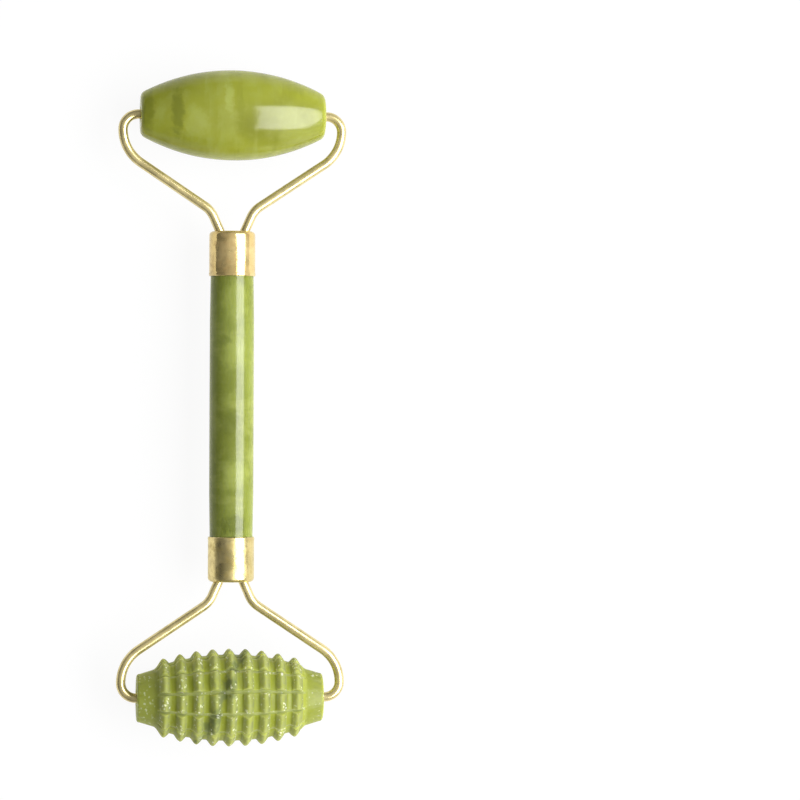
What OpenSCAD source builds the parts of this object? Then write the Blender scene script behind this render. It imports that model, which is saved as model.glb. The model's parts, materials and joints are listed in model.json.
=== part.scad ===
// Two-headed stone massage roller: a stone grip with a wire yoke at each end, and in each yoke a
// stone that spins freely. One stone is a smooth barrel, the other is cut into rings of studs.
// The origin is the middle of the grip, on its axis. +Y runs along the grip to the smooth stone,
// +X runs along the stones' axles, and +Z stands square to the plane of the two yokes.

/* [Grip rod] */
// Length of rod that shows between the two ferrules
grip_len = 57.6; // [50:0.1:66]
// Diameter of the straight middle of the rod
rod_d = 9.8; // [9.6:0.05:10]
// Diameter of the rod where it enters a ferrule
rod_end_d = 9.5; // [9.3:0.05:9.5]
// Length of the slight taper at each end of the grip
taper_len = 10; // [6:0.5:14]
// Depth that the rod reaches into a ferrule
rod_insert = 5.5; // [4.5:0.1:6]
// Diameter of the blind hole in each end of the rod
socket_d = 5.2; // [5.2:0.1:6]
// Depth of that blind hole
socket_depth = 9; // [8.5:0.5:12]

/* [Ferrules] */
// Length of a ferrule
ferrule_len = 9.9; // [9.5:0.1:11]
// Outer diameter of a ferrule
ferrule_d = 10.2; // [10.1:0.05:10.5]
// Thickness of its closed end
ferrule_end_wall = 0.5; // [0.4:0.05:0.7]
// Radius of the rounded edge round the closed end
ferrule_round = 0.9; // [0.5:0.05:0.9]
// How far the rolled lip stands out at the open end
lip_proud = 0.05; // [0.05:0.05:0.2]
// Width of the rolled lip
lip_w = 0.7; // [0.5:0.1:1]

/* [Yokes] */
// Diameter of the wire
wire_d = 2.1; // [1.8:0.05:2.1]
// Distance from a stone's axle to the end face of its ferrule
yoke_reach = 25.65; // [25:0.05:28]
// Gap between the end of the longer stone and the first bend of the wire
end_play = 0.35; // [0.2:0.05:0.5]
// Bend radius where the wire turns off the axle pin
eye_bend_r = 3.35; // [3:0.05:3.5]
// Bend radius at the shoulder of the yoke
shoulder_bend_r = 8.8; // [7:0.1:9]
// Angle between a sloping leg and the grip's axis
slope_deg = 56.3; // [54:0.1:58]
// Bend radius where a leg turns in to the neck
neck_bend_r = 5.5; // [4:0.1:6.5]
// Angle between the neck and the grip's axis
neck_deg = 24; // [20:0.5:25]
// Distance between the centres of the wire where it enters the ferrule
neck_gap = 5.44; // [5.3:0.02:5.6]
// Distance between the centres of the wire's two tails inside the grip
tail_gap = 2.7; // [2.6:0.05:2.8]
// Bend radius between a neck and its tail
tail_bend_r = 3; // [2.5:0.1:4]
// Length of wire that is the axle pin inside a stone
pin_len = 6; // [5:0.5:7]

/* [Smooth stone] */
// Length of the smooth barrel stone
barrel_len = 40.8; // [38:0.1:41]
// Diameter at its middle
barrel_d = 19.9; // [18:0.1:22]
// Radius of the arc that its side follows from end to end
barrel_arc_r = 41.9; // [38:0.1:60]
// Radius of its rounded end edges
barrel_round = 1.7; // [0.5:0.1:2]

/* [Studded stone] */
// Length of the studded stone
studded_len = 41; // [41:0.1:43]
// How far the stone has slid along its axle towards -X
studded_slide = 0.2; // [0:0.05:0.2]
// Diameter over the middle ring of studs
studded_d = 21.6; // [20.8:0.1:23]
// Radius of the arc that the tops of the rings follow
studded_arc_r = 51.6; // [48:0.1:70]
// Distance from one ring of studs to the next
ring_pitch = 3.65; // [3.5:0.05:3.7]
// Number of rings, always odd
ring_count = 9; // [7:2:9]
// Depth of the valley between two rings
ring_depth = 1.3; // [1:0.05:1.4]
// Width of a ring at its foot
ring_foot_w = 2.4; // [2.2:0.1:3]
// Width of the flat top of a ring
ring_top_w = 0.6; // [0.4:0.1:1.6]
// Number of lengthwise cuts that part the rings into studs
cut_count = 12; // [8:1:16]
// Width of a lengthwise cut at the top of the studs
cut_w = 1.2; // [0.9:0.05:1.3]
// Width of the flat floor of a lengthwise cut
cut_floor_w = 0.75; // [0.4:0.05:0.8]
// Depth of a lengthwise cut below the top of the studs
cut_depth = 1.5; // [1.1:0.05:1.6]
// How far the first cut is turned round the axle
cut_turn = 12; // [0:1:29]
// Diameter of the plain collar where it leaves the last ring
collar_d = 12.4; // [11.6:0.1:12.8]
// Diameter of the flat face at each end
studded_end_d = 9.6; // [9:0.1:10]

/* [Bearing bushes] */
// Outer diameter of a bush
bush_d = 3.4; // [3.2:0.1:4]
// Length of a bush
bush_len = 7; // [6:0.5:9]
// How far a bush sits back from the end of its stone
bush_recess = 0.2; // [0.1:0.05:0.4]
// Radial clearance between the axle pin and its bush
run_gap = 0.05; // [0.02:0.01:0.08]

/* [Hidden] */

$fn = 96;
bond_gap = 0.02;      // radial gap of a glued joint
over = 1;             // how far a cutter runs past the face that it cuts
bevel = 0.3;          // small bevels
socket_spare = 1;     // room between the wire's hairpin bend and the bottom of the blind hole
lip_set_back = 0.1;   // distance of a ferrule's lip from its open end

wire_r = wire_d / 2;
ferrule_r = ferrule_d / 2;
ferrule_bore_r = rod_end_d / 2 + bond_gap;
face_y = grip_len / 2 + ferrule_len;       // end face of the ferrule
cavity_y = face_y - ferrule_end_wall;      // inner face of its closed end
rod_end_y = grip_len / 2 + rod_insert;
socket_end_y = rod_end_y - socket_depth;
axle_y = face_y + yoke_reach;

// One half of a yoke, in the yoke's own frame: the axle lies on X and the grip is towards -Y.
// The sloping leg and the neck lie on two lines that cross at corner.
eye_x = max(barrel_len, studded_len) / 2 + end_play;
pin_start_x = studded_len / 2 - pin_len;
slope_dir = [-sin(slope_deg), -cos(slope_deg)];
neck_dir = [-sin(neck_deg), -cos(neck_deg)];
leg_start = [
    eye_x + eye_bend_r - shoulder_bend_r * (1 - cos(slope_deg)),
    -eye_bend_r - shoulder_bend_r * sin(slope_deg)
];
neck_entry = [neck_gap / 2, -yoke_reach];
leg_full = cross(neck_entry - leg_start, neck_dir) / cross(slope_dir, neck_dir);
corner = leg_start + leg_full * slope_dir;
neck_full = (corner[0] - tail_gap / 2) / sin(neck_deg);
tail_corner_y = corner[1] - neck_full * cos(neck_deg);
hairpin_y = socket_end_y + socket_spare + wire_r + tail_gap / 2 - axle_y;
neck_trim = neck_bend_r * tan((slope_deg - neck_deg) / 2);
tail_trim = tail_bend_r * tan(neck_deg / 2);

// Steps of the wire from the pin's tip to the hairpin: [0, length] is straight, and
// [radius, angle] is a bend, to the left where the angle is positive.
YOKE_STEPS = [
    [0, eye_x - pin_start_x],
    [eye_bend_r, -90],
    [shoulder_bend_r, -slope_deg],
    [0, leg_full - neck_trim],
    [neck_bend_r, slope_deg - neck_deg],
    [0, neck_full - neck_trim - tail_trim],
    [tail_bend_r, neck_deg],
    [0, tail_corner_y - tail_trim - hairpin_y]
];
// Every other step is a hair thinner and laps into its neighbours, so that the steps join as one
// solid with no surface that only just touches another.
lap = 0.05;
lap_thin = 0.005;

stone_bore_r = bush_d / 2 + bond_gap;

/* ---- wire ---- */

module wire_step(radius, amount, r, lapped) {
    if (radius == 0) {
        translate([-lapped, 0, 0])
            rotate([0, 90, 0])
                cylinder(r = r, h = amount + 2 * lapped);
    } else {
        side = sign(amount);
        lap_deg = lapped / radius * 180 / PI;
        sweep = abs(amount) + 2 * lap_deg;
        first = side > 0 ? -90 - lap_deg : 90 + lap_deg - sweep;
        translate([0, side * radius, 0])
            rotate([0, 0, first])
                rotate_extrude(angle = sweep)
                    translate([radius, 0])
                        circle(r = r);
    }
}

// Moves its children to the end of a step, facing the way the wire goes on
module past_step(radius, amount) {
    if (radius == 0) {
        translate([amount, 0, 0]) children();
    } else {
        centre = [0, sign(amount) * radius, 0];
        translate(centre) rotate([0, 0, amount]) translate(-centre) children();
    }
}

module bent_wire(steps, r, i = 0) {
    if (i < len(steps)) {
        lapped = i % 2 == 1;
        wire_step(steps[i][0], steps[i][1], lapped ? r - lap_thin : r, lapped ? lap : 0);
        past_step(steps[i][0], steps[i][1]) bent_wire(steps, r, i + 1);
    }
}

// The whole yoke, grown or shrunk by the radius that it is drawn with
module yoke_shape(r) {
    for (side = [0, 1])
        mirror([side, 0, 0])
            translate([pin_start_x, 0, 0])
                bent_wire(YOKE_STEPS, r);
    translate([0, hairpin_y, 0])
        rotate([0, 0, 180])
            rotate_extrude(angle = 180)
                translate([tail_gap / 2, 0])
                    circle(r = r);
}

// Cuts the square rim of an axle pin's tip back to a bevel
module pin_tip_cut() {
    skim = 0.2;
    for (side = [0, 1])
        mirror([side, 0, 0])
            translate([pin_start_x, 0, 0])
                rotate([0, 90, 0])
                    rotate_extrude()
                        polygon([
                            [wire_r - bevel - skim, -skim],
                            [wire_r + over, bevel + over],
                            [wire_r + over, -skim]
                        ]);
}

module at_upper_end() { translate([0, axle_y, 0]) children(); }
module at_lower_end() { rotate([0, 0, 180]) at_upper_end() children(); }

module yoke_wire() {
    difference() {
        yoke_shape(wire_r);
        pin_tip_cut();
    }
}
module upper_yoke_wire() { color("gold") at_upper_end() yoke_wire(); }
module lower_yoke_wire() { color("gold") at_lower_end() yoke_wire(); }

/* ---- grip ---- */

// Everything on the grip is turned about Y: this stands a shape drawn along Z onto the grip's axis
module along_grip() { rotate([-90, 0, 0]) children(); }

module handle_rod() {
    straight = grip_len / 2 - taper_len;
    color("olivedrab") along_grip()
        difference() {
            rotate_extrude()
                polygon([
                    [0, -rod_end_y],
                    [rod_end_d / 2 - bevel, -rod_end_y],
                    [rod_end_d / 2, -rod_end_y + bevel],
                    [rod_end_d / 2, -grip_len / 2],
                    [rod_d / 2, -straight],
                    [rod_d / 2, straight],
                    [rod_end_d / 2, grip_len / 2],
                    [rod_end_d / 2, rod_end_y - bevel],
                    [rod_end_d / 2 - bevel, rod_end_y],
                    [0, rod_end_y]
                ]);
            for (end = [0, 1])
                mirror([0, 0, end])
                    translate([0, 0, socket_end_y])
                        cylinder(d = socket_d, h = socket_depth + over);
        }
}

// The half section of a ferrule, drawn with its open end at 0 and its closed end up
module ferrule_section() {
    edge_r = ferrule_r - ferrule_round;
    edge_y = ferrule_len - ferrule_round;
    square([edge_r, ferrule_len]);
    square([ferrule_r, edge_y]);
    translate([edge_r, edge_y]) circle(r = ferrule_round);
    translate([0, lip_w / 2 + lip_set_back])
        polygon([
            [0, -lip_w / 2],
            [ferrule_r, -lip_w / 2],
            [ferrule_r + lip_proud, -lip_w / 4],
            [ferrule_r + lip_proud, lip_w / 4],
            [ferrule_r, lip_w / 2],
            [0, lip_w / 2]
        ]);
}

module ferrule() {
    difference() {
        translate([0, grip_len / 2, 0])
            along_grip()
                rotate_extrude() ferrule_section();
        translate([0, grip_len / 2 - over, 0])
            along_grip()
                cylinder(r = ferrule_bore_r, h = ferrule_len - ferrule_end_wall + over);
        for (side = [0, 1])
            mirror([side, 0, 0])
                translate([neck_gap / 2, face_y, 0])
                    rotate([0, 0, -neck_deg])
                        along_grip()
                            cylinder(r = wire_r + bond_gap, h = 2 * wire_d, center = true);
    }
}
module upper_ferrule() { color("goldenrod") ferrule(); }
module lower_ferrule() { color("goldenrod") rotate([0, 0, 180]) ferrule(); }

// Adhesive that fills the ferrule and the blind hole round the wire
module epoxy_plug() {
    difference() {
        union() {
            translate([0, rod_end_y + bond_gap, 0])
                along_grip()
                    cylinder(
                        r = ferrule_bore_r - bond_gap,
                        h = cavity_y - rod_end_y - 2 * bond_gap
                    );
            translate([0, socket_end_y + bond_gap, 0])
                along_grip()
                    cylinder(d = socket_d - 2 * bond_gap, h = socket_depth + bond_gap);
        }
        at_upper_end() yoke_shape(wire_r + bond_gap);
    }
}
module upper_epoxy_plug() { color("wheat") epoxy_plug(); }
module lower_epoxy_plug() { color("wheat") rotate([0, 0, 180]) epoxy_plug(); }

/* ---- stones ---- */

module on_lower_axle() { at_lower_end() translate([studded_slide, 0, 0]) children(); }

// A stone is turned about X, its axle, and drilled from end to end for its bushes
module on_axle() { rotate([0, 90, 0]) children(); }

module stone_bore(length) {
    cylinder(r = stone_bore_r, h = length + 2 * over, center = true);
}

// The half section of the smooth stone: an arc from end to end, with rounded edges at the ends
module barrel_section() {
    arc_x = barrel_d / 2 - barrel_arc_r;
    inner_r = barrel_arc_r - barrel_round;
    round_z = barrel_len / 2 - barrel_round;
    round_x = arc_x + sqrt(inner_r * inner_r - round_z * round_z);
    clip_z = round_z * barrel_arc_r / inner_r;
    intersection() {
        translate([arc_x, 0]) circle(r = barrel_arc_r, $fn = 480);
        translate([0, -clip_z]) square([barrel_d, 2 * clip_z]);
    }
    translate([0, -barrel_len / 2]) square([round_x, barrel_len]);
    for (side = [-1, 1])
        translate([round_x, side * round_z]) circle(r = barrel_round);
}

module large_roller_stone() {
    color("yellowgreen") at_upper_end() on_axle()
        difference() {
            rotate_extrude() barrel_section();
            stone_bore(barrel_len);
        }
}

// Radius of the arc over the tops of the rings, at a distance z from the middle of the stone
function crest(z) = sqrt(studded_arc_r * studded_arc_r - z * z) - studded_arc_r + studded_d / 2;

// The half section's points from the middle of the stone out to one end: the rings, then the
// hollow foot of the last ring, the collar, and the collar's rounded edge
last_ring = (ring_count - 1) / 2;
last_ring_z = last_ring * ring_pitch;
collar_r = collar_d / 2;
collar_z = last_ring_z + ring_pitch * 2 / 3;
hollow = [0.65, -0.9];                   // from the collar's start back to the last ring's foot
studded_end_r = studded_end_d / 2;
studded_end_z = studded_len / 2;
edge_steps = [[0.5, -0.7], [0.35, -0.2]];   // corners of the rounded edge, from the end face's rim
studded_half = [
    for (i = [0:last_ring])
        let (z = i * ring_pitch, top = crest(z))
            each [
                if (i > 0) [crest(z - ring_pitch / 2) - ring_depth, z - ring_foot_w / 2],
                if (i > 0) [top, z - ring_top_w / 2],
                [top, z + ring_top_w / 2],
                if (i < last_ring) [crest(z + ring_pitch / 2) - ring_depth, z + ring_foot_w / 2]
            ],
    [collar_r, collar_z] + hollow,
    [collar_r, collar_z],
    for (step = edge_steps) [studded_end_r, studded_end_z] + step,
    [studded_end_r, studded_end_z],
    [0, studded_end_z]
];
function reversed(points) = [for (i = [len(points) - 1:-1:0]) [points[i][0], -points[i][1]]];

// One lengthwise cut: a narrow trough that follows the arc over the rings
module lengthwise_cut() {
    slope = (cut_w - cut_floor_w) / cut_depth;
    outer_w = cut_w + slope * over;
    inner_r = studded_arc_r - cut_depth;
    outer_r = studded_arc_r + over;
    half_deg = asin((studded_len / 2 + over) / inner_r);
    translate([studded_d / 2 - studded_arc_r, 0, 0])
        rotate([90, 0, 0])
            rotate([0, 0, -half_deg])
                rotate_extrude(angle = 2 * half_deg)
                    polygon([
                        [inner_r, -cut_floor_w / 2],
                        [outer_r, -outer_w / 2],
                        [outer_r, outer_w / 2],
                        [inner_r, cut_floor_w / 2]
                    ]);
}

module ridged_roller_stone() {
    color("darkseagreen") on_lower_axle() on_axle()
        difference() {
            rotate_extrude() polygon(concat(reversed(studded_half), studded_half));
            for (i = [0:cut_count - 1])
                rotate([0, 0, cut_turn + i * 360 / cut_count])
                    lengthwise_cut();
            stone_bore(studded_len);
        }
}

// A plain sleeve pressed into the end of a stone's bore, towards +X
module bush(stone_len) {
    translate([stone_len / 2 - bush_recess - bush_len, 0, 0])
        on_axle()
            difference() {
                cylinder(d = bush_d, h = bush_len);
                translate([0, 0, -over]) cylinder(r = wire_r + run_gap, h = bush_len + 2 * over);
            }
}
module large_roller_right_bush() { color("white") at_upper_end() bush(barrel_len); }
module large_roller_left_bush() { color("white") at_upper_end() mirror([1, 0, 0]) bush(barrel_len); }
module ridged_roller_left_bush() { color("white") on_lower_axle() bush(studded_len); }
module ridged_roller_right_bush() { color("white") on_lower_axle() mirror([1, 0, 0]) bush(studded_len); }

handle_rod();
upper_ferrule();
lower_ferrule();
upper_yoke_wire();
lower_yoke_wire();
upper_epoxy_plug();
lower_epoxy_plug();
large_roller_stone();
large_roller_left_bush();
large_roller_right_bush();
ridged_roller_stone();
ridged_roller_left_bush();
ridged_roller_right_bush();
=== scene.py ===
"""The looks of a double-ended stone face roller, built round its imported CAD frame.

Row frame, in metres: the origin is the middle of the grip, +Y runs along the grip to the smooth
stone, +X along the stones' axles, +Z straight up from the plane of the yokes.
"""

import json
import math

import bmesh
import bpy
import numpy as np
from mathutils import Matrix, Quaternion, Vector, noise


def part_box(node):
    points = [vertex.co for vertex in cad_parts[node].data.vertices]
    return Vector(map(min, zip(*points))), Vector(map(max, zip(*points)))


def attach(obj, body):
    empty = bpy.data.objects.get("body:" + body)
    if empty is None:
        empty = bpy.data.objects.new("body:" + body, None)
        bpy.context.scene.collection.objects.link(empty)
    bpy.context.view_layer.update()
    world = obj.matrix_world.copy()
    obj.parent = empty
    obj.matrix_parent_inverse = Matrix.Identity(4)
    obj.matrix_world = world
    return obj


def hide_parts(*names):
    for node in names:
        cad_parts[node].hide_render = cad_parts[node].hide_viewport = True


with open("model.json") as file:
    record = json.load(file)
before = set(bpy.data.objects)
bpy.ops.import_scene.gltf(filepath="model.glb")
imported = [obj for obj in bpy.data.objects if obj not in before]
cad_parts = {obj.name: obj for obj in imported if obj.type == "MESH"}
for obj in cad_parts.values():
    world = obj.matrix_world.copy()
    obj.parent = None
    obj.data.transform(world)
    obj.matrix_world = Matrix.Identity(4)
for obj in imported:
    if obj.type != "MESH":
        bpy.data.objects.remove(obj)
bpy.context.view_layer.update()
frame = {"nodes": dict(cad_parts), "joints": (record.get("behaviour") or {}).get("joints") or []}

MM = 0.001
NOISE_SEED = 7

# ---- places taken from the frame ----


def joint_point(name):
    return Vector(next(j["pos_m"] for j in frame["joints"] if j["name"] == name))


LARGE_AXLE = joint_point("large_roller_spin")
RIDGED_AXLE = joint_point("ridged_roller_spin")
ROD_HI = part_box("handle_rod")[1]
FERRULE_LO, FERRULE_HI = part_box("upper_ferrule")
YOKE_LO, YOKE_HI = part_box("upper_yoke_wire")
LARGE_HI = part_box("large_roller_stone")[1]
RIDGED_LO, RIDGED_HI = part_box("ridged_roller_stone")
BUSH_LO, BUSH_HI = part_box("large_roller_right_bush")

AXLE_Y = LARGE_AXLE.y
ROD_R = ROD_HI.x
FACE_Y = FERRULE_HI.y
GRIP_END_Y = FERRULE_LO.y
LARGE_R, LARGE_HALF = LARGE_HI.z, LARGE_HI.x
RIDGED_R, RIDGED_HALF = RIDGED_HI.z, (RIDGED_HI.x - RIDGED_LO.x) / 2
RIDGED_CENTRE = Vector(((RIDGED_HI.x + RIDGED_LO.x) / 2, RIDGED_AXLE.y, RIDGED_AXLE.z))
BUSH_R = (BUSH_HI.z - BUSH_LO.z) / 2

# ---- sizes that the frame's boxes don't give, the same as the CAD's ----

WIRE_R = 1.05 * MM
EYE_BEND_R = 3.35 * MM
SHOULDER_BEND_R = 8.8 * MM
NECK_BEND_R = 5.5 * MM
TAIL_BEND_R = 3.0 * MM
SLOPE = math.radians(56.3)
NECK = math.radians(24)
NECK_HALF_GAP = 2.72 * MM
TAIL_HALF_GAP = 1.35 * MM
PIN_START_X = 14.5 * MM

ROD_END_R = 4.75 * MM
TAPER_LEN = 10 * MM
SOCKET_R = 2.6 * MM
SOCKET_DEPTH = 9 * MM

FERRULE_R = 5.1 * MM
FERRULE_BORE_R = 4.77 * MM
FERRULE_WALL = 0.5 * MM
FERRULE_ROUND = 0.9 * MM
LIP_W = 0.7 * MM
LIP_PROUD = 0.05 * MM

STONE_BORE_R = 1.72 * MM
PIN_CLEAR_R = 1.1 * MM
BARREL_ARC_R = 41.9 * MM
BARREL_ROUND = 1.7 * MM

CREST_ARC_R = 51.6 * MM
RING_PITCH = 3.65 * MM
LAST_RING = 4
RING_DEPTH = 1.3 * MM
RING_TIP_R = 0.65 * MM
RING_FLANK = 1.65
RING_SHIFT = -0.1 * MM
CUT_COUNT = 12
CUT_HALF_W = 0.62 * MM
CUT_FLOOR_HALF_W = 0.375 * MM
CUT_DEPTH = 1.5 * MM
CUT_TURN = math.radians(12)
CUT_LEAN = math.radians(-1)
COLLAR_R = 6.2 * MM
COLLAR_START = 17 * MM
COLLAR_SLOPE = 0.3
COLLAR_HOLLOW = 0.47 / MM
COLLAR_ROUND = 0.7 * MM
STUDDED_END_R = 4.8 * MM

# Small bevels, and the width over which a cut or a valley blends into the ring beside it
STONE_BEVEL = 0.15 * MM
ROD_BEVEL = 0.3 * MM
WIRE_BEVEL = 0.3 * MM
BLEND_W = 0.3 * MM

# Mesh fineness: segments round an axis, and rows along one
ROD_SEGMENTS = 128
BARREL_SEGMENTS, BARREL_ROWS = 192, 141
WIRE_SEGMENTS = 32
BUSH_SEGMENTS = 48
ROWS_PER_RING, COLLAR_ROWS = 18, 26
# Columns beside each cut, in mm from its middle
CUT_STEPS = (0, 0.16, 0.3, 0.37, 0.42, 0.47, 0.52, 0.57, 0.62, 0.68, 0.78, 0.95, 1.25, 1.6, 2.0, 2.4)

# The studded stone's grey-green vein lies in a plane: its normal, and its distance from the origin
VEIN_ACROSS = Vector((0.893, -0.448, 0.05))
VEIN_OFFSET = VEIN_ACROSS.dot(RIDGED_AXLE) - 2.0 * MM


# ---- mesh helpers ----


def arc(centre, radius, first, last, count):
    """Points on an arc, from angle first to last in degrees."""
    turn = np.radians(np.linspace(first, last, count))
    return [(centre[0] + radius * math.cos(t), centre[1] + radius * math.sin(t)) for t in turn]


def place(name, data):
    """A new object, linked into the scene."""
    thing = bpy.data.objects.new(name, data)
    bpy.context.scene.collection.objects.link(thing)
    return thing


def make_object(name, verts, faces, node, body, material):
    """A smooth-shaded piece that stands for a CAD node and rides on its body."""
    mesh = bpy.data.meshes.new(name)
    mesh.from_pydata([tuple(v) for v in verts], [], faces)
    mesh.validate()
    work = bmesh.new()
    work.from_mesh(mesh)
    bmesh.ops.recalc_face_normals(work, faces=work.faces)
    work.to_mesh(mesh)
    work.free()
    mesh.shade_smooth()
    piece = place(name, mesh)
    mesh.materials.append(material)
    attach(piece, body)
    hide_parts(node)
    return piece


def loop_faces(rows, segments, closed):
    """Quads between rows of a turned shape. closed joins the last row to the first."""
    faces = []
    for i in range(rows if closed else rows - 1):
        a, b = i * segments, (i + 1) % rows * segments
        for j in range(segments):
            k = (j + 1) % segments
            faces.append((a + j, a + k, b + k, b + j))
    return faces


def turned(profile, segments, closed):
    """Vertices (along, across, across) and faces of a profile of (radius, along) points, turned
    round its axis. A closed profile makes a ring; an open one ends in a pole at each end."""
    turn = np.linspace(0, 2 * math.pi, segments, endpoint=False)
    rows = profile if closed else profile[1:-1]
    verts = [(a, r * math.cos(t), r * math.sin(t)) for r, a in rows for t in turn]
    faces = loop_faces(len(rows), segments, closed)
    if not closed:
        first, last = len(verts), len(verts) + 1
        verts += [(profile[0][1], 0, 0), (profile[-1][1], 0, 0)]
        end = (len(rows) - 1) * segments
        for j in range(segments):
            k = (j + 1) % segments
            faces += [(first, k, j), (last, end + j, end + k)]
    return np.array(verts), faces


def along_x(verts, centre):
    """Turned vertices stood on a stone's axle."""
    return verts + np.array(centre)


def along_y(verts):
    """Turned vertices stood on the grip's axis."""
    return verts[:, [1, 0, 2]]


def dense(points, step):
    """The same outline with extra points, no more than step apart."""
    out = []
    for (r0, a0), (r1, a1) in zip(points, points[1:]):
        count = max(1, math.ceil(math.hypot(r1 - r0, a1 - a0) / step))
        out += [(r0 + (r1 - r0) * i / count, a0 + (a1 - a0) * i / count) for i in range(count)]
    return out + [points[-1]]


def wander(verts, amount, size, seed):
    """Moves each vertex a little along a smooth noise field, as hand grinding leaves a stone."""
    # Vector noise takes its offsets from the clock unless it is seeded
    noise.seed_set(NOISE_SEED)
    shift = Vector((seed, seed * 2, seed * 3))
    return np.array([Vector(v) + amount * noise.noise_vector(Vector(v) / size + shift) for v in verts])


# ---- material helpers ----


class Nodes:
    """A material's node tree, with short calls for the nodes used here."""

    def __init__(self, name):
        self.material = bpy.data.materials.new(name)
        self.material.use_nodes = True
        self.tree = self.material.node_tree
        self.surface = self.tree.nodes["Principled BSDF"]
        self.coords = self.tree.nodes.new("ShaderNodeTexCoord").outputs["Object"]

    def add(self, kind, inputs=(), **settings):
        node = self.tree.nodes.new("ShaderNode" + kind)
        for key, value in settings.items():
            setattr(node, key, value)
        for key, value in dict(inputs).items():
            self.feed(node.inputs[key], value)
        return node

    def feed(self, socket, value):
        if isinstance(value, bpy.types.NodeSocket):
            self.tree.links.new(value, socket)
        else:
            socket.default_value = value

    def set(self, **values):
        for key, value in values.items():
            self.feed(self.surface.inputs[key.replace("_", " ")], value)

    def stretched(self, scale, shift=(0, 0, 0)):
        """The piece's own coordinates, stretched and moved."""
        inputs = {"Vector": self.coords, "Scale": scale, "Location": shift}
        return self.add("Mapping", inputs).outputs["Vector"]

    def noise(self, size, detail=4, rough=0.5, twist=0, vector=None):
        """Noise whose features are about size metres across, from 0 to 1."""
        inputs = {
            "Vector": vector or self.coords,
            "Scale": 1 / size,
            "Detail": detail,
            "Roughness": rough,
            "Distortion": twist,
        }
        return self.add("TexNoise", inputs).outputs["Fac"]

    def cells(self, size):
        """Distance to the middle of the nearest of many cells, each about size metres across."""
        inputs = {"Vector": self.coords, "Scale": 1 / size}
        return self.add("TexVoronoi", inputs).outputs["Distance"]

    def remap(self, value, low, high, to_low=0.0, to_high=1.0, smooth=True):
        kind = "SMOOTHSTEP" if smooth else "LINEAR"
        inputs = {
            "Value": value,
            "From Min": low,
            "From Max": high,
            "To Min": to_low,
            "To Max": to_high,
        }
        return self.add("MapRange", inputs, interpolation_type=kind).outputs["Result"]

    def math(self, operation, a, b=0.0):
        return self.add("Math", {0: a, 1: b}, operation=operation).outputs["Value"]

    def mix(self, share, a, b):
        node = self.add("Mix", {"Factor": share}, data_type="RGBA")
        colour_a, colour_b, colour_out = node.inputs[6], node.inputs[7], node.outputs[2]
        self.feed(colour_a, a)
        self.feed(colour_b, b)
        return colour_out

    def patch(self, centre, reach, rag):
        """1 at a point, fading to 0 at the edge of an ellipsoid with a ragged outline."""
        wobble = self.noise(min(reach) * 0.8, detail=3, rough=0.6)
        inputs = {"Location": [-c / r for c, r in zip(centre, reach)], "Scale": [1 / r for r in reach]}
        inputs["Vector"] = self.coords
        away = self.add("Mapping", inputs).outputs["Vector"]
        length = self.add("VectorMath", {0: away}, operation="LENGTH").outputs["Value"]
        ragged = self.math("ADD", length, self.remap(wobble, 0.2, 0.8, -rag, rag, smooth=False))
        return self.remap(ragged, 1.0, 0.35)

    def facing(self):
        """0 where the surface faces the eye, 1 where it is seen edge on."""
        return self.add("LayerWeight", {"Blend": 0.5}).outputs["Facing"]

    def attribute(self, name):
        return self.add("Attribute", attribute_name=name).outputs["Fac"]

    def bump(self, height, distance, strength=1.0):
        inputs = {"Height": height, "Distance": distance, "Strength": strength}
        return self.add("Bump", inputs).outputs["Normal"]


def rgb(r, g, b):
    """A colour given as 0 to 255 display values, as a linear colour with alpha."""
    linear = [((c / 255 + 0.055) / 1.055) ** 2.4 if c > 10 else c / 255 / 12.92 for c in (r, g, b)]
    return (*linear, 1.0)


# ---- materials ----


def jade(name, base, deep, pale, cloud_size, streak, shift):
    """Polished serpentine jade: cloudy, slightly translucent, under a wax polish."""
    n = Nodes(name)
    field = n.stretched((1, 1, 1), shift=shift)
    clouds = n.noise(cloud_size, detail=5, rough=0.55, twist=0.4, vector=field)
    soft = n.noise(cloud_size * 2.4, detail=2, vector=field)
    bands = n.noise(cloud_size * 1.1, detail=3, rough=0.6, vector=n.stretched(streak, shift=shift))
    fine = n.noise(cloud_size * 0.22, detail=4, rough=0.6, vector=field)

    colour = n.mix(n.remap(soft, 0.35, 0.65), deep, base)
    colour = n.mix(n.math("MULTIPLY", n.remap(clouds, 0.48, 0.68), 0.45), colour, pale)
    colour = n.mix(n.math("MULTIPLY", n.remap(bands, 0.52, 0.7), 0.45), colour, pale)
    colour = n.mix(n.math("MULTIPLY", n.remap(bands, 0.46, 0.3), 0.55), colour, deep)
    colour = n.mix(n.math("MULTIPLY", n.remap(fine, 0.45, 0.75), 0.2), colour, pale)

    # The polish is fullest where the stone faces the eye and again near its outline
    facing = n.facing()
    full, rim = n.remap(facing, 0.16, 0.3, 1.0, 0.4), n.remap(facing, 0.3, 0.6, 0.0, 0.4)
    ripple = n.noise(1.8 * MM, detail=3, vector=field)
    n.set(
        Base_Color=colour,
        Roughness=n.remap(fine, 0.3, 0.7, 0.3, 0.4),
        Specular_IOR_Level=0.0,
        Subsurface_Weight=0.75,
        Subsurface_Radius=(1.0, 0.95, 0.4),
        Subsurface_Scale=2.8 * MM,
        Coat_Weight=n.math("ADD", full, rim),
        Coat_Normal=n.bump(ripple, 0.02 * MM),
        Coat_Roughness=n.remap(fine, 0.3, 0.7, 0.12, 0.18),
        Coat_IOR=1.5,
    )
    return n, colour


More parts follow.
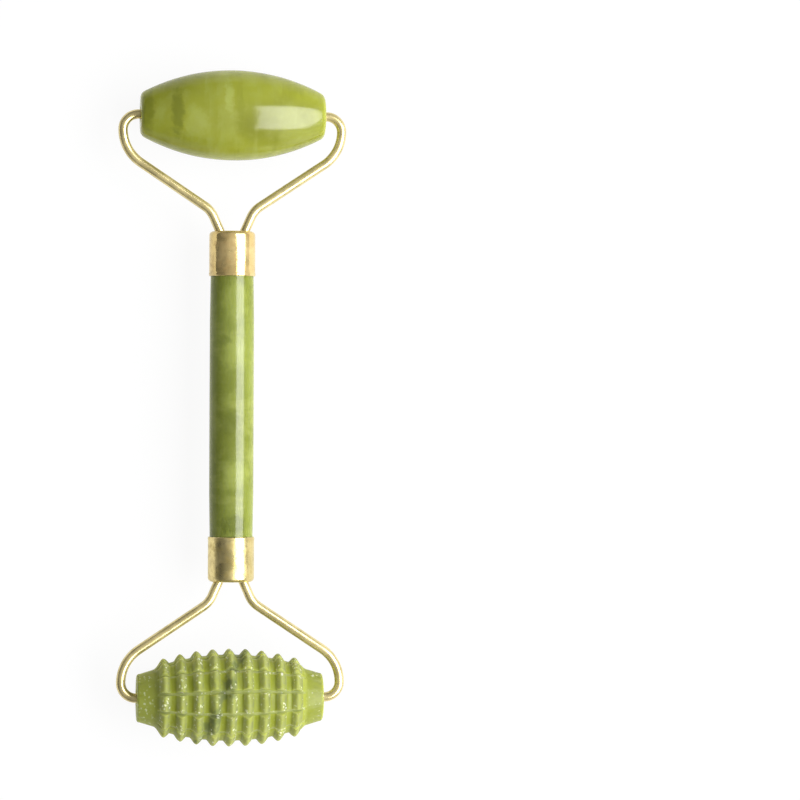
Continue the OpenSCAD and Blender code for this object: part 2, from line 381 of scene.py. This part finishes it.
def jade_barrel():
    """The smooth stone: darker towards its left end, with a few pale clouds."""
    deep, pale = rgb(112, 117, 33), rgb(176, 183, 104)
    n, colour = jade(
        "jade_smooth",
        base=rgb(147, 153, 52),
        deep=rgb(124, 128, 39),
        pale=rgb(158, 164, 80),
        cloud_size=8 * MM,
        streak=(2.2, 0.5, 0.5),
        shift=(0.11, 0.02, 0.3),
    )
    y, z = LARGE_AXLE.y, LARGE_R * 0.8
    clouds = [
        ((-8.6 * MM, y - 2 * MM, z), (3.4 * MM, 5 * MM, 5 * MM), 0.3, pale),
        ((-16.4 * MM, y, z), (1.6 * MM, 4 * MM, 6 * MM), 0.15, pale),
        ((-12.6 * MM, y, z), (1.8 * MM, 8 * MM, 8 * MM), 0.7, deep),
        ((-19 * MM, y, z), (2 * MM, 9 * MM, 9 * MM), 0.6, deep),
        ((13 * MM, y - 4 * MM, z), (8 * MM, 7 * MM, 7 * MM), 0.3, pale),
        ((-1.5 * MM, y + 3 * MM, z), (1.5 * MM, 5 * MM, 5 * MM), 0.45, pale),
    ]
    for centre, reach, amount, tone in clouds:
        colour = n.mix(n.math("MULTIPLY", n.patch(centre, reach, 0.35), amount), colour, tone)
    n.set(Base_Color=colour)
    return n.material


def jade_rod():
    """The grip's rod: greener, with cloudy bands and a dark patch near its lower end."""
    deep, pale = rgb(88, 98, 30), rgb(160, 170, 88)
    n, colour = jade(
        "jade_rod",
        base=rgb(130, 140, 63),
        deep=rgb(118, 127, 49),
        pale=rgb(154, 162, 87),
        cloud_size=7 * MM,
        streak=(0.6, 1.6, 0.6),
        shift=(0.31, 0.12, 0.1),
    )
    y, z = GRIP_END_Y, ROD_R
    clouds = [
        ((0, -0.91 * y, z), (4 * MM, 3 * MM, 4 * MM), 0.6, deep),
        ((1 * MM, -0.52 * y, z), (4 * MM, 4.5 * MM, 4 * MM), 0.4, pale),
        ((-1 * MM, -0.12 * y, z), (3 * MM, 3.5 * MM, 4 * MM), 0.45, deep),
        ((-1 * MM, 0.04 * y, z), (3 * MM, 2.5 * MM, 4 * MM), 0.3, pale),
        ((0, 0.41 * y, z), (4 * MM, 5 * MM, 4 * MM), 0.45, pale),
        ((-2 * MM, 0.5 * y, z), (2 * MM, 1.6 * MM, 3 * MM), 0.4, deep),
        ((0.5 * MM, 0.82 * y, z), (4 * MM, 6 * MM, 4 * MM), 0.45, pale),
    ]
    for centre, reach, amount, tone in clouds:
        colour = n.mix(n.math("MULTIPLY", n.patch(centre, reach, 0.4), amount), colour, tone)
    n.set(Base_Color=colour)
    return n.material


def jade_studded():
    """The studded stone: waxy in the valleys and with a frost finish where the wheel has cut, with white
    bruises on its edges and a grey-green vein across it. Painted light and shade even out its shading:
    each ring's -X flank is painted lighter and its +X flank darker, and the cuts are painted pale,
    partly for their frost and partly as painted light over the shade in the grooves."""
    n, colour = jade(
        "jade_studded",
        base=rgb(154, 163, 60),
        deep=rgb(141, 149, 52),
        pale=rgb(164, 172, 82),
        cloud_size=8 * MM,
        streak=(1.8, 0.6, 0.6),
        shift=(0.21, 0.42, 0.05),
    )
    ground = n.attribute("ground")
    frost = n.remap(n.noise(1.1 * MM, detail=4, rough=0.6), 0.3, 0.7, 0.5, 1.0)
    # Painted light and shade: on the studs, each ring's -X flank, turned from the softbox, is mixed
    # towards a lighter green and its +X flank, facing it, towards a darker green.
    flank = n.attribute("flank")
    frost_and_flank_shade = n.mix(n.remap(flank, 0, 1, smooth=False), rgb(150, 156, 100), rgb(174, 180, 120))
    frost_and_flank_shade = n.mix(n.remap(flank, 0, -1, smooth=False), frost_and_flank_shade, rgb(120, 125, 80))
    colour = n.mix(n.math("MULTIPLY", ground, frost), colour, frost_and_flank_shade)
    # Inside the cuts a pale green: partly the cut's frost finish, partly painted light over the shade in
    # the grooves.
    colour = n.mix(n.math("MULTIPLY", n.attribute("cut"), 0.7), colour, rgb(172, 179, 106))

    across = n.add("VectorMath", {0: n.coords, 1: VEIN_ACROSS}, operation="DOT_PRODUCT").outputs["Value"]
    wave = n.remap(n.noise(5 * MM, detail=4, rough=0.6), 0.2, 0.8, -2.2 * MM, 2.2 * MM, smooth=False)
    off = n.math("ABSOLUTE", n.math("SUBTRACT", n.math("ADD", across, wave), VEIN_OFFSET))
    broken = n.remap(n.noise(3 * MM, detail=3), 0.3, 0.55)
    vein = n.math("MULTIPLY", n.remap(off, 1.9 * MM, 0.4 * MM), broken)
    colour = n.mix(n.math("MULTIPLY", vein, 0.75), colour, rgb(96, 106, 68))

    side = n.add("SeparateXYZ", {0: n.coords}).outputs["X"]
    colour = n.mix(n.remap(side, -14 * MM, -18 * MM, 0, 0.6), colour, rgb(140, 147, 76))
    colour = n.mix(n.remap(side, 15 * MM, 19 * MM, 0, 0.5), colour, rgb(136, 142, 86))

    ragged = n.math("ADD", n.cells(0.85 * MM), n.remap(n.noise(0.5 * MM), 0.2, 0.8, -0.25, 0.25))
    flecks = n.remap(ragged, 0.4, 0.15, 0, 0.8)
    patches = n.remap(n.noise(2.6 * MM, detail=3, rough=0.65), 0.5, 0.6)
    on_studs = n.math("MULTIPLY", patches, n.remap(ground, 0.4, 0.9, 0.05, 0.95))
    scatter = n.remap(n.noise(1.4 * MM, detail=2), 0.45, 0.6)
    left_collar = n.math("MULTIPLY", scatter, n.remap(side, -16.4 * MM, -17.4 * MM, 0, 0.45))
    right_collar = n.math("MULTIPLY", patches, n.remap(side, 16.4 * MM, 17.4 * MM, 0, 0.6))
    spread = n.math("MAXIMUM", on_studs, n.math("MAXIMUM", left_collar, right_collar))
    colour = n.mix(n.math("MULTIPLY", flecks, spread), colour, rgb(232, 236, 212))
    grit = n.noise(0.5 * MM, detail=5, rough=0.7)
    n.set(
        Base_Color=colour,
        Subsurface_Weight=0.85,
        Subsurface_Scale=3.6 * MM,
        Coat_Weight=n.remap(ground, 0, 1, 0.35, 0.1),
        Coat_Roughness=n.remap(ground, 0, 1, 0.25, 0.4),
        Normal=n.bump(grit, 0.05 * MM, 0.5),
    )
    return n.material


def gold(name, tone, worn_tone, rough, metal_low, metal_high, dents):
    """Thin gold plating over brass. Where it is worn it is hazy, which mixes in a dull sheen."""
    n = Nodes(name)
    patina = n.noise(1.3 * MM, detail=2, rough=0.5)
    broad = n.noise(4 * MM, detail=3)
    wave = n.noise(2.6 * MM, detail=2, vector=n.stretched((1, 0.5, 1)))
    colour = n.mix(n.remap(patina, 0.4, 0.7), tone, worn_tone)
    colour = n.mix(n.math("MULTIPLY", n.remap(broad, 0.35, 0.7), 0.35), colour, rgb(240, 222, 168))
    worn = n.math("ADD", n.math("MULTIPLY", patina, 0.5), n.math("MULTIPLY", broad, 0.5))
    n.set(
        Base_Color=colour,
        Metallic=n.remap(worn, 0.38, 0.62, metal_high, metal_low),
        Specular_IOR_Level=0.2,
        Roughness=n.remap(worn, 0.38, 0.62, rough * 0.8, rough * 1.3),
        Normal=n.bump(wave, dents),
    )
    return n.material


def nylon():
    n = Nodes("nylon")
    speck = n.noise(0.4 * MM, detail=3)
    n.set(
        Base_Color=n.mix(speck, rgb(206, 200, 178), rgb(226, 221, 204)),
        Roughness=n.remap(speck, 0.3, 0.7, 0.45, 0.6),
        Subsurface_Weight=0.3,
        Subsurface_Scale=1 * MM,
    )
    return n.material


def epoxy():
    n = Nodes("epoxy")
    haze = n.noise(1.2 * MM, detail=4)
    n.set(
        Base_Color=n.mix(haze, rgb(196, 178, 120), rgb(222, 208, 160)),
        Roughness=n.remap(haze, 0.3, 0.7, 0.15, 0.3),
        Subsurface_Weight=0.4,
        Subsurface_Scale=1.5 * MM,
    )
    return n.material


# ---- pieces ----


def handle_rod(material):
    straight = GRIP_END_Y - TAPER_LEN
    half = [
        (0, ROD_HI.y - SOCKET_DEPTH),
        (SOCKET_R, ROD_HI.y - SOCKET_DEPTH),
        (SOCKET_R, ROD_HI.y),
        (ROD_END_R - ROD_BEVEL, ROD_HI.y),
        (ROD_END_R, ROD_HI.y - ROD_BEVEL),
        (ROD_END_R, GRIP_END_Y),
        (ROD_R, straight),
        (ROD_R, 0),
    ]
    other = [(r, -a) for r, a in reversed(half[:-1])]
    verts, faces = turned(dense(half + other, 0.8 * MM), ROD_SEGMENTS, closed=False)
    return make_object("rod", along_y(verts), faces, "handle_rod", "handle", material)


def barrel_profile():
    """The smooth stone's closed half section, from one bore mouth over the outside to the other."""
    arc_x = LARGE_R - BARREL_ARC_R
    inner = BARREL_ARC_R - BARREL_ROUND
    round_z = LARGE_HALF - BARREL_ROUND
    reach = math.degrees(math.asin(round_z / inner))
    round_x = arc_x + inner * math.cos(math.radians(reach))
    side = arc((round_x, round_z), BARREL_ROUND, reach, 90, 9)
    mouth = [(STONE_BORE_R + STONE_BEVEL, LARGE_HALF), (STONE_BORE_R, LARGE_HALF - STONE_BEVEL)]
    half = side + dense([(round_x, LARGE_HALF), mouth[0]], 0.6 * MM)[1:] + [mouth[1]]
    middle = arc((arc_x, 0), BARREL_ARC_R, -reach, reach, BARREL_ROWS)
    return [(r, -a) for r, a in reversed(half)] + middle[1:-1] + half


def large_stone(material):
    verts, faces = turned(barrel_profile(), BARREL_SEGMENTS, closed=True)
    stone = wander(along_x(verts, LARGE_AXLE), 0.03 * MM, 7 * MM, 4.2)
    return make_object(
        "barrel_stone", stone, faces, "large_roller_stone", "large_roller", material
    )


def soft_min(a, b, k):
    """The lower of two heights, blended where they are closer than k."""
    h = np.clip(0.5 + 0.5 * (b - a) / k, 0, 1)
    return b + (a - b) * h - k * h * (1 - h)


def crest_radius(z):
    return np.sqrt(CREST_ARC_R**2 - z**2) - CREST_ARC_R + RIDGED_R


def ring_offset(z):
    """Distance along the stone from the crest of the nearest ring."""
    along = z - RING_SHIFT
    return along - np.clip(np.round(along / RING_PITCH), -LAST_RING, LAST_RING) * RING_PITCH


def ring_radius(z):
    """The rings' section: pointed crests with slightly rounded tips over round-bottomed valleys, and
    a plain collar past the last ring."""
    away = ring_offset(z)
    drop = RING_FLANK * (np.sqrt(away**2 + RING_TIP_R**2) - RING_TIP_R)
    height = crest_radius(z) - drop
    valley = crest_radius(z) - RING_DEPTH
    past = np.abs(z) - COLLAR_START
    collar = COLLAR_R - COLLAR_SLOPE * past + COLLAR_HOLLOW * np.minimum(past, 0) ** 2
    between = np.abs(z - RING_SHIFT) < LAST_RING * RING_PITCH
    floor = np.where(between, valley, np.minimum(collar, valley))
    return -soft_min(-height, -floor, BLEND_W)


def studded_rows():
    """Distances along the stone of the mesh's rows, with one on each crest and each valley."""
    last = LAST_RING * ROWS_PER_RING
    rings = [i * RING_PITCH / ROWS_PER_RING + RING_SHIFT for i in range(-last, last + 1)]
    end = RIDGED_HALF - COLLAR_ROUND
    left = list(np.linspace(-end, rings[0], COLLAR_ROWS)[:-1])
    right = list(np.linspace(rings[-1], end, COLLAR_ROWS)[1:])
    return left + rings + right


def studded_columns():
    """The mesh's columns, close together at the sides of each cut, as the cut's number and the
    distance from it round the stone."""
    reach = math.pi / CUT_COUNT * RIDGED_R
    side = [step * MM for step in CUT_STEPS if step * MM < reach]
    offsets = [-step for step in reversed(side[1:])] + side
    return [(i, offset) for i in range(CUT_COUNT) for offset in offsets]


def studded_field():
    """Distance along the stone, angle from +Z towards -Y and radius, as grids of rows by columns, and
    the same kind of grid for how far each vertex is ground away from the waxy valley floor, how
    far it is inside a cut, and which flank of its ring it is on."""
    rows = np.array(studded_rows())
    number, offset = (np.array(c) for c in zip(*studded_columns()))
    z, offset = np.meshgrid(rows, offset, indexing="ij")
    number = np.broadcast_to(number, z.shape)
    reach = math.pi / CUT_COUNT * RIDGED_R

    def drift(z, i):
        return noise.noise(Vector((z / (5 * MM), i * 3.7, 0.5))) * 0.3 * MM

    sway = np.array([[drift(a, i) for i in range(CUT_COUNT)] for a in rows])
    sway = np.take_along_axis(sway, number, axis=1) * (1 - np.abs(offset) / reach)
    turn = number * 2 * math.pi / CUT_COUNT + (offset + sway) / RIDGED_R
    turn += math.tan(CUT_LEAN) / RIDGED_R * z - CUT_TURN

    side_slope = CUT_DEPTH / (CUT_HALF_W - CUT_FLOOR_HALF_W)
    past_floor = np.maximum(np.abs(offset) - CUT_FLOOR_HALF_W, 0)
    cut = crest_radius(z) - CUT_DEPTH + side_slope * past_floor
    uncut = ring_radius(z)
    radius = soft_min(uncut, cut, BLEND_W)

    height = np.clip(1 - (crest_radius(z) - uncut) / RING_DEPTH, 0, 1)
    in_cut = np.clip((uncut - cut) / (0.15 * MM), 0, 1)
    in_cut *= np.abs(z) < COLLAR_START
    ground = np.maximum(np.clip((height - 0.08) / 0.15, 0, 1), in_cut)
    # +1 on each ring's -X flank and -1 on its +X flank; the material paints light and shade on the
    # flanks from it.
    flank = np.clip(-ring_offset(z) / (0.8 * MM), -1, 1) * (1 - in_cut)

    for i, j in np.ndindex(radius.shape):
        spot = Vector(studded_point(z[i, j], turn[i, j], radius[i, j])) / MM
        grit = noise.fractal(spot / 1.3, 0.8, 2.0, 3) * 0.05
        chip = max(0, noise.noise(spot / 1.7) - 0.28) * 0.5 * height[i, j] ** 2
        radius[i, j] -= np.clip(grit + chip, 0, 0.3) * MM
    return z, turn, radius, {"ground": ground, "cut": in_cut, "flank": flank}


def studded_point(z, turn, radius):
    return (z, -radius * math.sin(turn), radius * math.cos(turn))


def studded_stone(material):
    """The studded stone as a height field round its axle, closed by its rounded ends and its bore."""
    z, turn, radius, marks = studded_field()
    rings = (STUDDED_END_R - 0.1 * MM, 3.2 * MM, STONE_BORE_R + STONE_BEVEL)
    face = [(RIDGED_HALF, r) for r in rings] + [(RIDGED_HALF - STONE_BEVEL, STONE_BORE_R)]

    def end_rows(row, side):
        """Rows from the last one of the side, round its edge, over the end face and into the bore."""
        out = []
        for step in (0.3, 0.55, 0.8, 1.0):
            angle = step * math.pi / 2
            a = RIDGED_HALF - COLLAR_ROUND * (1 - math.sin(angle))
            shrink = 0.5 * MM * (1 - math.cos(angle))
            out.append([(side * a, t, r - shrink) for t, r in zip(turn[row], radius[row])])
        out += [[(side * a, t, r) for t in turn[row]] for a, r in face]
        return [[studded_point(*v) for v in line] for line in out]

    body = [[studded_point(*v) for v in zip(*line)] for line in zip(z, turn, radius)]
    left, right = end_rows(0, -1), end_rows(-1, 1)
    lines = left[::-1] + body + right
    segments = turn.shape[1]
    faces = loop_faces(len(lines), segments, closed=True)
    placed = np.array([v for line in lines for v in line]) + np.array(RIDGED_CENTRE)
    piece = make_object(
        "studded_stone", placed, faces, "ridged_roller_stone", "ridged_roller", material
    )
    for mark, grid in marks.items():
        values = np.zeros((len(lines), segments))
        values[len(left):len(left) + len(body)] = grid
        piece.data.attributes.new(mark, "FLOAT", "POINT").data.foreach_set("value", values.ravel())
    return piece


def yoke_path():
    """The centre line of one whole yoke wire in the row frame, from pin tip to pin tip."""
    eye_x = YOKE_HI.x - WIRE_R - EYE_BEND_R
    half = [Vector((PIN_START_X, AXLE_Y))]
    heading = 0.0

    def straight(length, step):
        count = max(2, round(length / step))
        start = half[-1].copy()
        way = Vector((math.cos(heading), math.sin(heading)))
        half.extend(start + way * (length * i / count) for i in range(1, count + 1))

    def bend(radius, angle):
        nonlocal heading
        side = math.copysign(1, angle)
        start = half[-1].copy()
        centre = start + radius * side * Vector((-math.sin(heading), math.cos(heading)))
        count = max(4, math.ceil(abs(angle) * radius / (0.35 * MM)))
        for i in range(1, count + 1):
            a = heading + angle * i / count
            half.append(centre - radius * side * Vector((-math.sin(a), math.cos(a))))
        heading += angle

    slope_dir = Vector((-math.sin(SLOPE), -math.cos(SLOPE)))
    neck_dir = Vector((-math.sin(NECK), -math.cos(NECK)))
    straight(eye_x - PIN_START_X, 0.6 * MM)
    bend(EYE_BEND_R, -math.pi / 2)
    bend(SHOULDER_BEND_R, -SLOPE)
    entry = Vector((NECK_HALF_GAP, FACE_Y))
    gap = entry - half[-1]
    leg_full = (gap.x * neck_dir.y - gap.y * neck_dir.x) / (
        slope_dir.x * neck_dir.y - slope_dir.y * neck_dir.x
    )
    corner = half[-1] + slope_dir * leg_full
    trim = NECK_BEND_R * math.tan((SLOPE - NECK) / 2)
    tail_trim = TAIL_BEND_R * math.tan(NECK / 2)
    neck_full = (corner.x - TAIL_HALF_GAP) / math.sin(NECK)
    straight(leg_full - trim, 0.7 * MM)
    bend(NECK_BEND_R, SLOPE - NECK)
    straight(neck_full - trim - tail_trim, 0.6 * MM)
    bend(TAIL_BEND_R, NECK)
    hairpin_y = YOKE_LO.y + WIRE_R + TAIL_HALF_GAP
    straight(half[-1].y - hairpin_y, 0.6 * MM)
    bend(TAIL_HALF_GAP, -math.pi / 2)
    other = [Vector((-p.x, p.y)) for p in reversed(half[:-1])]
    return half + other


def yoke(name, node, turn, material):
    """A round wire swept along the yoke's centre line, with bevelled tips."""
    path = yoke_path()
    ends = [(0.0, 0.7), (0.12, 0.87), (0.3, 1.0)]
    start, stop = path[0], path[-1]
    inward = Vector((1, 0))
    head = [(start + inward * (k * MM), WIRE_R * s) for k, s in ends]
    tail = [(stop - inward * (k * MM), WIRE_R * s) for k, s in reversed(ends)]
    body = [(p, WIRE_R) for p in path if min((p - start).length, (p - stop).length) > WIRE_BEVEL]
    line = head + body + tail
    verts = []
    for i, (p, r) in enumerate(line):
        before, after = line[max(i - 1, 0)][0], line[min(i + 1, len(line) - 1)][0]
        way = (after - before).normalized()
        side = Vector((-way.y, way.x))
        for j in range(WIRE_SEGMENTS):
            a = 2 * math.pi * j / WIRE_SEGMENTS
            q = p + side * (r * math.cos(a))
            verts.append(Vector((q.x, q.y, r * math.sin(a))))
    faces = loop_faces(len(line), WIRE_SEGMENTS, closed=False)
    faces.append(tuple(reversed(range(WIRE_SEGMENTS))))
    faces.append(tuple(range(len(verts) - WIRE_SEGMENTS, len(verts))))
    if turn:
        verts = [Vector((-v.x, -v.y, v.z)) for v in verts]
    return make_object(name, verts, faces, node, "handle", material)


def ferrule_profile():
    """The ferrule's half section from the middle of its closed end, round its lip, and back inside."""
    edge_r, edge_y = FERRULE_R - FERRULE_ROUND, FACE_Y - FERRULE_ROUND
    outside = dense([(0, FACE_Y), (edge_r, FACE_Y)], 0.6 * MM)
    outside += list(reversed(arc((edge_r, edge_y), FERRULE_ROUND, 0, 90, 10)))[1:]
    lip_y = GRIP_END_Y + 0.1 * MM + LIP_W / 2
    bead = [
        (FERRULE_R + LIP_PROUD * (1 + math.cos(math.pi * t)) / 2, lip_y - LIP_W / 2 * t)
        for t in np.linspace(-1, 1, 11)
    ]
    bead.append((FERRULE_R - 0.05 * MM, GRIP_END_Y))
    shell = dense([outside[-1], bead[0]], 0.8 * MM)[1:-1]
    wall_y = FACE_Y - FERRULE_WALL
    inside = [(FERRULE_BORE_R, GRIP_END_Y), (FERRULE_BORE_R, wall_y), (0, wall_y)]
    return outside + shell + bead + dense(inside, 0.8 * MM)


def ferrule(name, node, turn, material):
    verts, faces = turned(ferrule_profile(), ROD_SEGMENTS, closed=False)
    verts = along_y(verts)
    if turn:
        verts = verts * np.array([-1, -1, 1])
    return make_object(name, verts, faces, node, "handle", material)


def bush(name, axle, body, material):
    """A short sleeve with bevelled rims, a little way inside the end of its stone."""
    lo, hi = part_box(name)
    half = (hi.x - lo.x) / 2
    middle = (hi.x + lo.x) / 2
    outer = [(BUSH_R - STONE_BEVEL, half), (BUSH_R, half - STONE_BEVEL)]
    inner = [(PIN_CLEAR_R, half - STONE_BEVEL), (PIN_CLEAR_R + STONE_BEVEL, half)]
    profile = [(r, -a) for r, a in outer] + [(r, a) for r, a in reversed(outer)]
    profile += [(r, a) for r, a in reversed(inner)] + [(r, -a) for r, a in inner]
    verts, faces = turned(profile, BUSH_SEGMENTS, closed=True)
    placed = along_x(verts, (middle, axle.y, axle.z))
    return make_object(name + "_sleeve", placed, faces, name, body, material)


NYLON = nylon()
WIRE_GOLD = gold("gold_wire", rgb(228, 212, 154), rgb(204, 188, 130), 0.2, 0.58, 0.82, 0.01 * MM)
DULL_GOLD = gold(
    "gold_ferrule_dull", rgb(230, 203, 136), rgb(208, 178, 116), 0.14, 0.55, 0.8, 0.14 * MM
)
BRIGHT_GOLD = gold(
    "gold_ferrule_bright", rgb(230, 212, 146), rgb(204, 184, 118), 0.32, 0.85, 1.0, 0.02 * MM
)
EPOXY = epoxy()

handle_rod(jade_rod())
large_stone(jade_barrel())
studded_stone(jade_studded())
yoke("upper_yoke", "upper_yoke_wire", False, WIRE_GOLD)
yoke("lower_yoke", "lower_yoke_wire", True, WIRE_GOLD)
ferrule("upper_cup", "upper_ferrule", False, DULL_GOLD)
ferrule("lower_cup", "lower_ferrule", True, BRIGHT_GOLD)
bush("large_roller_left_bush", LARGE_AXLE, "large_roller", NYLON)
bush("large_roller_right_bush", LARGE_AXLE, "large_roller", NYLON)
bush("ridged_roller_left_bush", RIDGED_AXLE, "ridged_roller", NYLON)
bush("ridged_roller_right_bush", RIDGED_AXLE, "ridged_roller", NYLON)
for plug in ("upper_epoxy_plug", "lower_epoxy_plug"):
    mesh = frame["nodes"][plug].data
    mesh.materials.clear()
    mesh.materials.append(EPOXY)


# ---- floor, light and camera ----

CAMERA_AIM = Vector((37.55 * MM, 1.6 * MM, 0))
CAMERA_DISTANCE = 741.9 * MM
CAMERA_TILT = math.radians(-7.5)
CAMERA_ROLL = math.radians(0.25)
SOFTBOX_LEAN = math.radians(39.5)
SOFTBOX_SPIN = math.radians(3)
SOFTBOX_RADIANCE = 7.0
SOFTBOX_ACROSS, SOFTBOX_ALONG = 0.77, 1.2
# How far the softbox's middle is moved across its face, and along the grip
SOFTBOX_ASIDE, SOFTBOX_BACK = 0.02, -0.116
# The room's strength on the side away from the softbox and on its side
ROOM_DARK, ROOM_LIGHT = 0.1, 0.55
FLOOR_REACH = 2.5
FLOOR_GLOW = 0.93
LENS_MM, SENSOR_MM = 150, 36


def floor():
    """A pale, evenly glowing table that touches both stones, so it leans by the difference of their
    radii."""
    span = LARGE_AXLE.y - RIDGED_AXLE.y
    rise = (RIDGED_R - LARGE_R) / span
    middle = -(RIDGED_R + LARGE_R) / 2
    corners = [(x * FLOOR_REACH, y * FLOOR_REACH) for x, y in ((-1, -1), (1, -1), (1, 1), (-1, 1))]
    mesh = bpy.data.meshes.new("floor")
    mesh.from_pydata([(x, y, middle + rise * y) for x, y in corners], [], [(0, 1, 2, 3)])
    plane = place("floor", mesh)
    n = Nodes("floor_paper")
    tint = n.noise(0.4, detail=2)
    n.set(
        Base_Color=n.mix(tint, (0.05, 0.05, 0.05, 1), (0.06, 0.06, 0.06, 1)),
        Roughness=0.9,
        Specular_IOR_Level=0.1,
        Emission_Color=(1, 1, 1, 1),
        Emission_Strength=FLOOR_GLOW,
    )
    mesh.materials.append(n.material)


def softbox(towards, centre):
    """One large soft light that faces the origin, a metre away."""
    lamp = bpy.data.lights.new("softbox", "AREA")
    lamp.shape = "RECTANGLE"
    lamp.size, lamp.size_y = SOFTBOX_ALONG, SOFTBOX_ACROSS
    lamp.energy = SOFTBOX_RADIANCE * math.pi * SOFTBOX_ALONG * SOFTBOX_ACROSS
    holder = place("softbox", lamp)
    holder.location = centre
    holder.rotation_mode = "QUATERNION"
    holder.rotation_quaternion = towards.to_track_quat("Z", "Y") @ Quaternion((0, 0, 1), SOFTBOX_SPIN)


def lights():
    """A softbox to the right of the grip, and a dim room that is lighter on the softbox's side."""
    towards = Vector((math.sin(SOFTBOX_LEAN), 0, math.cos(SOFTBOX_LEAN)))
    across = Vector((math.cos(SOFTBOX_LEAN), 0, -math.sin(SOFTBOX_LEAN)))
    softbox(towards, towards + across * SOFTBOX_ASIDE + Vector((0, SOFTBOX_BACK, 0)))

    world = bpy.data.worlds.new("studio")
    world.use_nodes = True
    tree = world.node_tree
    way = tree.nodes.new("ShaderNodeTexCoord").outputs["Generated"]
    facing = tree.nodes.new("ShaderNodeVectorMath")
    facing.operation = "DOT_PRODUCT"
    facing.inputs[1].default_value = towards
    glow = tree.nodes.new("ShaderNodeMapRange")
    for socket, value in zip(glow.inputs[1:5], (-0.05, 1.0, ROOM_DARK, ROOM_LIGHT)):
        socket.default_value = value
    tree.links.new(way, facing.inputs[0])
    tree.links.new(facing.outputs["Value"], glow.inputs["Value"])
    background = tree.nodes["Background"]
    background.inputs["Color"].default_value = (1, 1, 1, 1)
    tree.links.new(glow.outputs["Result"], background.inputs["Strength"])
    bpy.context.scene.world = world


def camera():
    """Above the yokes' plane and a little to its left, framed so that the roller lies left of the
    picture's middle."""
    cam = bpy.data.cameras.new("camera")
    cam.lens, cam.sensor_width = LENS_MM, SENSOR_MM
    cam.clip_end = 20
    holder = place("camera", cam)
    turn = Quaternion((0, 1, 0), CAMERA_TILT) @ Quaternion((0, 0, 1), CAMERA_ROLL)
    holder.rotation_mode = "QUATERNION"
    holder.rotation_quaternion = turn
    holder.location = CAMERA_AIM + turn @ Vector((0, 0, CAMERA_DISTANCE))
    bpy.context.scene.camera = holder


floor()
lights()
camera()
bpy.context.scene.view_settings.view_transform = "Standard"
